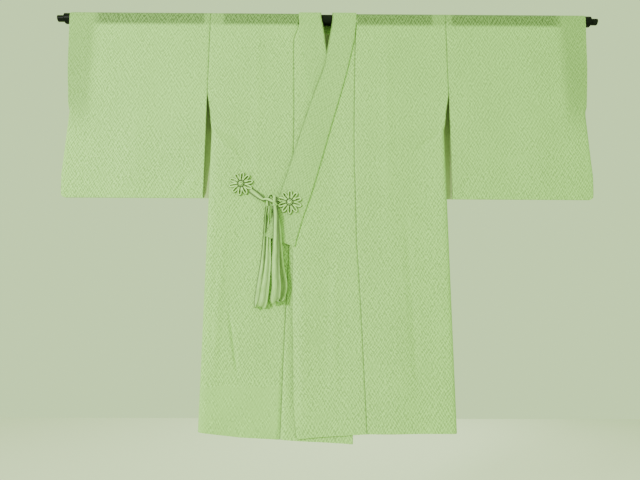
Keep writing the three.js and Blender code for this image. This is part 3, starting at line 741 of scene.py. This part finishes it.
folded_silk = silk("crepe_silk_folded", BAND_LIGHT_SILK, DARK_SILK, on_rod=False)
collar = lay_cloth(
    "collar_silk", range(COLLAR_COLUMNS + 1), range(len(collar_rows)), collar_place, 1,
    [folded_silk, folded_silk], BAND_CLOTH,
)
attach(collar, "root")
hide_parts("collar")


# ---------------------------------------------------------------- Flower knots
# Each is tied from one length of silk piping: ten loops lie round a small wrapped bud. They are
# sewn to the coat by the middle, one on each side of the opening.

PETALS = 10
PETAL_CORD = 0.0021
PETAL_LENGTH = 0.0222
PETAL_HALF_WIDTH = 0.0047
PETAL_FOOT_WIDTH = 0.5
PETAL_FOOT = 0.006
PETAL_ARCH = 0.0008
RING = 0.2
BUD_RADIUS = 0.0065
BUD_WINDING = 0.055
BUD_TURNS = 7.0
BUD_FLATNESS = 0.62
# Painted shade colour for the folds, flanks and undersides of the piping and the ties.
PAINTED_FOLD_SHADE = (0.022, 0.042, 0.012, 1)

piping = Finish("silk_piping", IOR=1.45, Sheen_Weight=0.3, Sheen_Roughness=0.4, Specular_IOR_Level=0.4)
piping_at = piping.coordinate(OBJECT_SPACE)
piping_crepe = piping_at.grain(900.0, 3.0)
piping_lit = piping_at.grain(90.0, 2.0).between(0.3, 0.7).tint(
    (0.39, 0.69, 0.195, 1), (0.57, 0.93, 0.32, 1)
)
# Painted light and shade: each point's painted_light number makes the front of the cord light, and its
# flanks, back and the petals' feet dark.
piping.vary(
    Base_Color=piping.marked("painted_light").between(0.93, 1.28).tint(PAINTED_FOLD_SHADE, piping_lit),
    Roughness=0.5 + 0.2 * piping_crepe,
)
piping.raise_by(piping_crepe, 0.00025, 0.7)


for name, x, z, plane, turn in [
    ("flower_right_piping", -0.212, -0.447, -0.0177, 6),
    ("flower_left_piping", -0.092, -0.494, -0.023, 0),
]:
    parts = []
    for petal in range(PETALS):
        bpy.ops.object.select_all(action="DESELECT")
        bpy.ops.mesh.primitive_torus_add(
            major_segments=36, minor_segments=10, major_radius=1.0, minor_radius=RING
        )
        loop = bpy.context.object
        painted_lights = []
        for vertex in loop.data.vertices:
            angle = math.atan2(vertex.co.y, vertex.co.x)
            out = (math.hypot(vertex.co.x, vertex.co.y) - 1.0) / RING * PETAL_CORD
            height = vertex.co.z / RING * PETAL_CORD
            reach = PETAL_FOOT + PETAL_LENGTH * (1 - math.cos(angle)) / 2
            swell = PETAL_FOOT_WIDTH + (1 - PETAL_FOOT_WIDTH) * (reach - PETAL_FOOT) / PETAL_LENGTH
            middle = Vector((reach, 0.0, PETAL_HALF_WIDTH * swell * math.sin(angle)))
            aside = Vector((-math.cos(angle) * PETAL_HALF_WIDTH, 0, math.sin(angle) * PETAL_LENGTH / 2))
            arch = PETAL_ARCH * math.sin(math.pi * (reach - PETAL_FOOT) / PETAL_LENGTH)
            vertex.co = middle + aside.normalized() * out
            vertex.co.y = -height - arch
            at_foot = ease(PETAL_FOOT + 0.007, PETAL_FOOT, reach)
            # Painted light and shade: the front crest of the cord is marked lit, its flanks and back dark,
            # and darker again at the petal's foot by the bud.
            painted_lights.append(0.58 + 0.75 * height / PETAL_CORD - 0.37 * at_foot)
        mark_points(loop, "painted_light", painted_lights)
        loop.data.transform(Matrix.Rotation(2 * math.pi * (petal + 0.5) / PETALS, 4, "Y"))
        parts.append(loop)
    bpy.ops.object.select_all(action="DESELECT")
    bpy.ops.mesh.primitive_uv_sphere_add(segments=40, ring_count=24, radius=BUD_RADIUS)
    bud = bpy.context.object
    painted_lights = []
    for vertex in bud.data.vertices:
        around = math.atan2(vertex.co.y, vertex.co.x)
        down = math.acos(max(-1.0, min(1.0, vertex.co.z / BUD_RADIUS)))
        wound = 1 + BUD_WINDING * math.sin(BUD_TURNS * down + around)
        vertex.co *= wound
        # Painted light and shade: the bud is marked lighter on its front face and on the ridges of its
        # winding.
        painted_lights.append(1.05 + 0.16 * vertex.co.z / BUD_RADIUS + 4.0 * (wound - 1))
        vertex.co = Vector((vertex.co.x, -vertex.co.z * BUD_FLATNESS - PETAL_CORD, vertex.co.y))
    mark_points(bud, "painted_light", painted_lights)
    parts.append(bud)
    for part in parts:
        part.select_set(True)
    bpy.context.view_layer.objects.active = bud
    bpy.ops.object.join()
    flower = bpy.context.object
    flower.name = name
    on_coat = Matrix.Translation((x, plane + front_relief(x, z), z))
    flower.data.transform(on_coat @ Matrix.Rotation(math.radians(turn), 4, "Y"))
    bpy.ops.object.mode_set(mode="EDIT")
    bpy.ops.mesh.select_all(action="SELECT")
    bpy.ops.mesh.normals_make_consistent(inside=False)
    bpy.ops.object.mode_set(mode="OBJECT")
    bpy.ops.object.shade_smooth_by_angle(angle=math.radians(60))
    flower.data.materials.clear()
    flower.data.materials.append(piping.material)
    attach(flower, "root")
    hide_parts(name.removesuffix("_piping"))


# ---------------------------------------------------------------- Ties and bow
# Flat ties of the same silk, sewn double and 24 mm wide, come from under the flowers. They are
# tied in a simple bow, and its two loops hang down over the opening.

TIE_WIDTH = 0.024
TIE_CLOTH = 0.0016
# Middle of the band, and the share of its width that is open there.
TIE_ROUTE = [
    (-0.188, -0.0177, -0.4626, 0.6), (-0.179, -0.0188, -0.4695, 0.63),
    (-0.169, -0.021, -0.4775, 0.6), (-0.161, -0.024, -0.484, 0.5),
    (-0.155, -0.0264, -0.4875, 0.4), (-0.1516, -0.0264, -0.4875, 0.4),
]
LOOP_BEHIND_ROUTE = [
    (-0.1465, -0.026, -0.50335, 0.28), (-0.1465, -0.026, -0.507, 0.28),
    (-0.1495, -0.02, -0.524, 0.28), (-0.1505, -0.0156, -0.547, 0.33),
    (-0.1515, -0.0151, -0.59, 0.46), (-0.154, -0.0154, -0.64, 0.62),
    (-0.159, -0.016, -0.695, 0.85), (-0.1615, -0.0166, -0.731, 0.95),
    (-0.1595, -0.0202, -0.743, 0.95), (-0.1535, -0.0245, -0.738, 0.95),
    (-0.1475, -0.0235, -0.7, 0.85), (-0.142, -0.0213, -0.64, 0.6),
    (-0.1415, -0.0186, -0.59, 0.4), (-0.141, -0.0176, -0.55, 0.33),
    (-0.14, -0.0184, -0.532, 0.28), (-0.1385, -0.026, -0.508, 0.28),
    (-0.1385, -0.026, -0.50335, 0.27),
]
LOOP_IN_FRONT_ROUTE = [
    (-0.127, -0.029, -0.50335, 0.47), (-0.127, -0.029, -0.507, 0.5),
    (-0.1245, -0.0335, -0.526, 0.58), (-0.1235, -0.035, -0.56, 0.6),
    (-0.1225, -0.035, -0.6, 0.7), (-0.1225, -0.034, -0.65, 0.83),
    (-0.12, -0.032, -0.7, 0.92), (-0.122, -0.03, -0.722, 1),
    (-0.1215, -0.0255, -0.732, 1), (-0.113, -0.021, -0.724, 1),
    (-0.106, -0.0215, -0.695, 0.95), (-0.1115, -0.0245, -0.65, 0.75),
    (-0.1145, -0.0272, -0.6, 0.55), (-0.1165, -0.028, -0.56, 0.45),
    (-0.121, -0.0264, -0.528, 0.35), (-0.13, -0.0248, -0.508, 0.27),
    (-0.13, -0.0248, -0.50335, 0.27),
]
KNOT_WRAPS = [
    [(-0.153, -0.0262, -0.4868, 0.41), (-0.147, -0.0312, -0.4875, 0.41), (-0.14, -0.0335, -0.4905, 0.41),
     (-0.132, -0.0345, -0.4945, 0.4), (-0.1255, -0.0325, -0.4985, 0.37), (-0.122, -0.028, -0.5015, 0.33)],
    [(-0.1265, -0.0235, -0.482, 0.4), (-0.1265, -0.0290, -0.4815, 0.41), (-0.1265, -0.0325, -0.4855, 0.45),
     (-0.1268, -0.0335, -0.492, 0.48), (-0.127, -0.0320, -0.4985, 0.48), (-0.127, -0.0295, -0.5035, 0.47)],
    [(-0.144, -0.0230, -0.484, 0.33), (-0.1435, -0.0275, -0.4865, 0.37), (-0.143, -0.0290, -0.493, 0.4),
     (-0.1428, -0.0280, -0.4985, 0.4), (-0.1425, -0.0262, -0.5035, 0.41)],
    [(-0.1425, -0.0265, -0.4875, 0.27), (-0.1415, -0.0285, -0.4815, 0.28), (-0.1385, -0.0295, -0.4785, 0.28),
     (-0.1350, -0.0290, -0.4795, 0.28), (-0.1335, -0.0280, -0.4845, 0.27)],
    [(-0.1250, -0.0270, -0.4920, 0.3), (-0.1215, -0.0280, -0.4925, 0.3), (-0.1175, -0.0275, -0.4935, 0.27),
     (-0.1150, -0.0262, -0.4945, 0.27)],
]
TIE_SIDES = 26
ROUTE_STEPS = 5
PLEAT = 0.0022
PLEAT_WHEN_OPEN = 0.0004

tie_silk = Finish("tie_silk", IOR=1.45, Sheen_Weight=0.3, Sheen_Roughness=0.4, Specular_IOR_Level=0.4)
tie_flat = tie_silk.coordinate(OWN_UV)
streaks = tie_flat.stretched(1.0, 0.12, 1.0).grain(420.0, 2.0)
tie_crepe = tie_flat.grain(1300.0, 2.0)
tie_lit = streaks.between(0.3, 0.7).tint((0.38, 0.68, 0.19, 1), (0.58, 0.96, 0.32, 1))
# Painted light and shade: the ties' rims and pleat valleys are painted dark, and their faces light, by the
# painted_light number.
tie_silk.vary(
    Base_Color=tie_silk.marked("painted_light").between(0.24, 0.94).tint(PAINTED_FOLD_SHADE, tie_lit),
    Roughness=0.52 + 0.18 * tie_crepe,
)
tie_silk.raise_by(0.6 * streaks + 0.4 * tie_crepe, 0.0003, 0.6)


def along_route(route):
    """Smooth curve through a route's rows: points, and how much of the width is open at each."""
    points = [Vector(row[:3]) for row in route]
    opens = [row[3] for row in route]
    curve = []
    for index in range(len(points) - 1):
        before = points[index - 1] if index else points[0] * 2 - points[1]
        start, end = points[index], points[index + 1]
        after = points[index + 2] if index + 2 < len(points) else end * 2 - start
        gap, lead, tail = [
            math.sqrt(max(leg.length, 1e-6)) for leg in (end - start, start - before, after - end)
        ]
        slope_in = (start - before) / lead - (end - before) / (lead + gap) + (end - start) / gap
        slope_out = (end - start) / gap - (after - start) / (gap + tail) + (after - end) / tail
        for step in range(ROUTE_STEPS + (index == len(points) - 2)):
            s = step / ROUTE_STEPS
            point = (
                start * (2 * s**3 - 3 * s * s + 1) + slope_in * gap * (s**3 - 2 * s * s + s)
                + end * (3 * s * s - 2 * s**3) + slope_out * gap * (s**3 - s * s)
            )
            curve.append((point, opens[index] + (opens[index + 1] - opens[index]) * s))
    return curve


def flat_tie(name, route, across_way, waves, start=0.0):
    """A flat tube of silk along a route; where it isn't fully open it is pleated lengthwise."""
    curve = [
        (point + Vector((0, front_relief(point.x, point.z), 0)), share)
        for point, share in along_route(route)
    ]
    frames = []
    run = 0.0
    for index, (point, share) in enumerate(curve):
        ahead, behind = curve[min(index + 1, len(curve) - 1)][0], curve[max(index - 1, 0)][0]
        tangent = (ahead - behind).normalized()
        across = Vector(across_way)
        across = (across - tangent * across.dot(tangent)).normalized()
        if index:
            run += (point - curve[index - 1][0]).length
        frames.append((point, across, tangent.cross(across), share, run))

    def place(side, row):
        point, across, out, share, run = frames[row]
        angle = 2 * math.pi * side / TIE_SIDES
        wide = math.copysign(abs(math.cos(angle)) ** 0.55, math.cos(angle))
        thick = math.copysign(abs(math.sin(angle)) ** 0.8, math.sin(angle))
        wave = math.cos(math.pi * waves * wide + start + 9 * run)
        pleat = (PLEAT_WHEN_OPEN + PLEAT * (1 - share)) * wave
        offset = across * (wide * share * TIE_WIDTH / 2) + out * (thick * TIE_CLOTH / 2 + pleat)
        # Painted light and shade: the faces are marked lit, the rims seen side-on and the valleys of the
        # pleats dark.
        painted_light = min(1.0, abs(thick) * 1.6) * (0.62 + (0.1 + 0.4 * (1 - share)) * wave)
        return point + offset, (wide * TIE_WIDTH / 2 + 0.05 * (thick > 0), run), painted_light

    bpy.ops.object.select_all(action="DESELECT")
    bpy.ops.mesh.primitive_grid_add(
        x_subdivisions=TIE_SIDES, y_subdivisions=len(frames) - 1, size=1, calc_uvs=True
    )
    tie = bpy.context.object
    tie.name = name
    flat, painted_lights = [], []
    for vertex in tie.data.vertices:
        side = round((vertex.co.x + 0.5) * TIE_SIDES)
        row = round((vertex.co.y + 0.5) * (len(frames) - 1))
        vertex.co, uv, painted_light = place(side, row)
        flat.append(uv)
        painted_lights.append(painted_light)
    mark_points(tie, "painted_light", painted_lights)
    for loop, corner in zip(tie.data.loops, tie.data.uv_layers.active.data):
        corner.uv = flat[loop.vertex_index]
    bpy.ops.object.mode_set(mode="EDIT")
    bpy.ops.mesh.select_all(action="SELECT")
    bpy.ops.mesh.remove_doubles(threshold=0.00001)
    bpy.ops.mesh.select_all(action="DESELECT")
    bpy.ops.mesh.select_mode(type="EDGE")
    bpy.ops.mesh.select_non_manifold(extend=False)
    bpy.ops.mesh.edge_face_add()
    bpy.ops.mesh.select_all(action="SELECT")
    bpy.ops.mesh.normals_make_consistent(inside=False)
    bpy.ops.mesh.select_mode(type="VERT")
    bpy.ops.object.mode_set(mode="OBJECT")
    bpy.ops.object.shade_smooth_by_angle(angle=math.radians(55))
    tie.data.materials.append(tie_silk.material)
    return tie, [tuple(point) for point, *_ in frames], run


SIDEWAYS = (1, 0, 0)
SLANTED = (0.55, 0, 0.84)
FOLD_SLANT = (0.92, 0, 0.39)
wraps = []
for number, route in enumerate(KNOT_WRAPS):
    way = SLANTED if number in (0, 4) else SIDEWAYS
    wrap, _, _ = flat_tie(f"wrap_{number}", route, way, 1.0, number)
    wraps.append(wrap)
bpy.ops.object.select_all(action="DESELECT")
for wrap in wraps:
    wrap.select_set(True)
bpy.context.view_layer.objects.active = wraps[0]
bpy.ops.object.join()
knot = bpy.context.object
knot.name = "knot_silk"
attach(knot, "root")
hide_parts("bow_knot")
tie, _, _ = flat_tie("tie_to_knot_silk", TIE_ROUTE, SLANTED, 1.2)
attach(tie, "root")
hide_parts("tie_to_knot")
for name, route, way, waves, pieces_on_it in [
    ("bow_loop_behind", LOOP_BEHIND_ROUTE, SIDEWAYS, 1.5, [knot, tie]),
    ("bow_loop_front", LOOP_IN_FRONT_ROUTE, FOLD_SLANT, 1.2, []),
]:
    loop, path, length = flat_tie(f"{name}_silk", route, way, waves)
    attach(loop, "root")
    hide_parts(name)


# ---------------------------------------------------------------- Studio
# A plain pale floor and soft, even light, with the camera square in front of the coat, a little
# below its middle and tipped up.

bpy.ops.object.select_all(action="DESELECT")
bpy.ops.mesh.primitive_plane_add(size=4.2, location=(0, 0, -1.42))
floor = bpy.context.object
floor.name = "floor"
pale = Finish("pale_floor", Roughness=0.9)
speck = pale.coordinate(OBJECT_SPACE).grain(60.0, 3.0)
pale.vary(Base_Color=speck.tint((0.70, 0.74, 0.60, 1), (0.74, 0.78, 0.64, 1)))
floor.data.materials.append(pale.material)

world = bpy.data.worlds.new("studio")
bpy.context.scene.world = world
world.use_nodes = True
sky = world.node_tree.nodes["Background"]
sky.inputs["Color"].default_value = (0.88, 1.22, 0.57, 1)
sky.inputs["Strength"].default_value = 0.955

for name, place, aim, width, power in [
    ("key", (-2.7, -2.9, 0.25), (0, 0, -0.8), 0.6, 176),
    ("fill", (1.4, -1.8, -1.1), (0, 0, -0.8), 1.8, 6),
    ("back", (0.5, 2.3, 0.8), (0, 0, -0.4), 1.4, 62),
]:
    lamp = bpy.data.lights.new(name, "AREA")
    lamp.size = width
    lamp.energy = power
    lamp.color = (0.97, 1.0, 0.86)
    light = bpy.data.objects.new(name, lamp)
    bpy.context.scene.collection.objects.link(light)
    light.location = place
    light.rotation_euler = (Vector(aim) - Vector(place)).to_track_quat("-Z", "Y").to_euler()

CAMERA_PLACE = (-0.0241, -1.1509, -0.7645)
CAMERA_PITCH, CAMERA_YAW, CAMERA_ROLL = 9.0, 0.261, 0.231
pitch, yaw, roll = [math.radians(angle) for angle in (CAMERA_PITCH, CAMERA_YAW, CAMERA_ROLL)]
forward = Vector((math.sin(yaw) * math.cos(pitch), math.cos(yaw) * math.cos(pitch), math.sin(pitch)))
level_right = Vector((math.cos(yaw), -math.sin(yaw), 0))
level_up = level_right.cross(forward)
camera_right = level_right * math.cos(roll) + level_up * math.sin(roll)
camera_up = level_up * math.cos(roll) - level_right * math.sin(roll)
camera_data = bpy.data.cameras.new("camera")
camera_data.lens = 27
camera_data.sensor_width = 36
camera = bpy.data.objects.new("camera", camera_data)
bpy.context.scene.collection.objects.link(camera)
turned = Matrix((camera_right, camera_up, -forward)).transposed().to_4x4()
camera.matrix_world = Matrix.Translation(CAMERA_PLACE) @ turned
bpy.context.scene.camera = camera
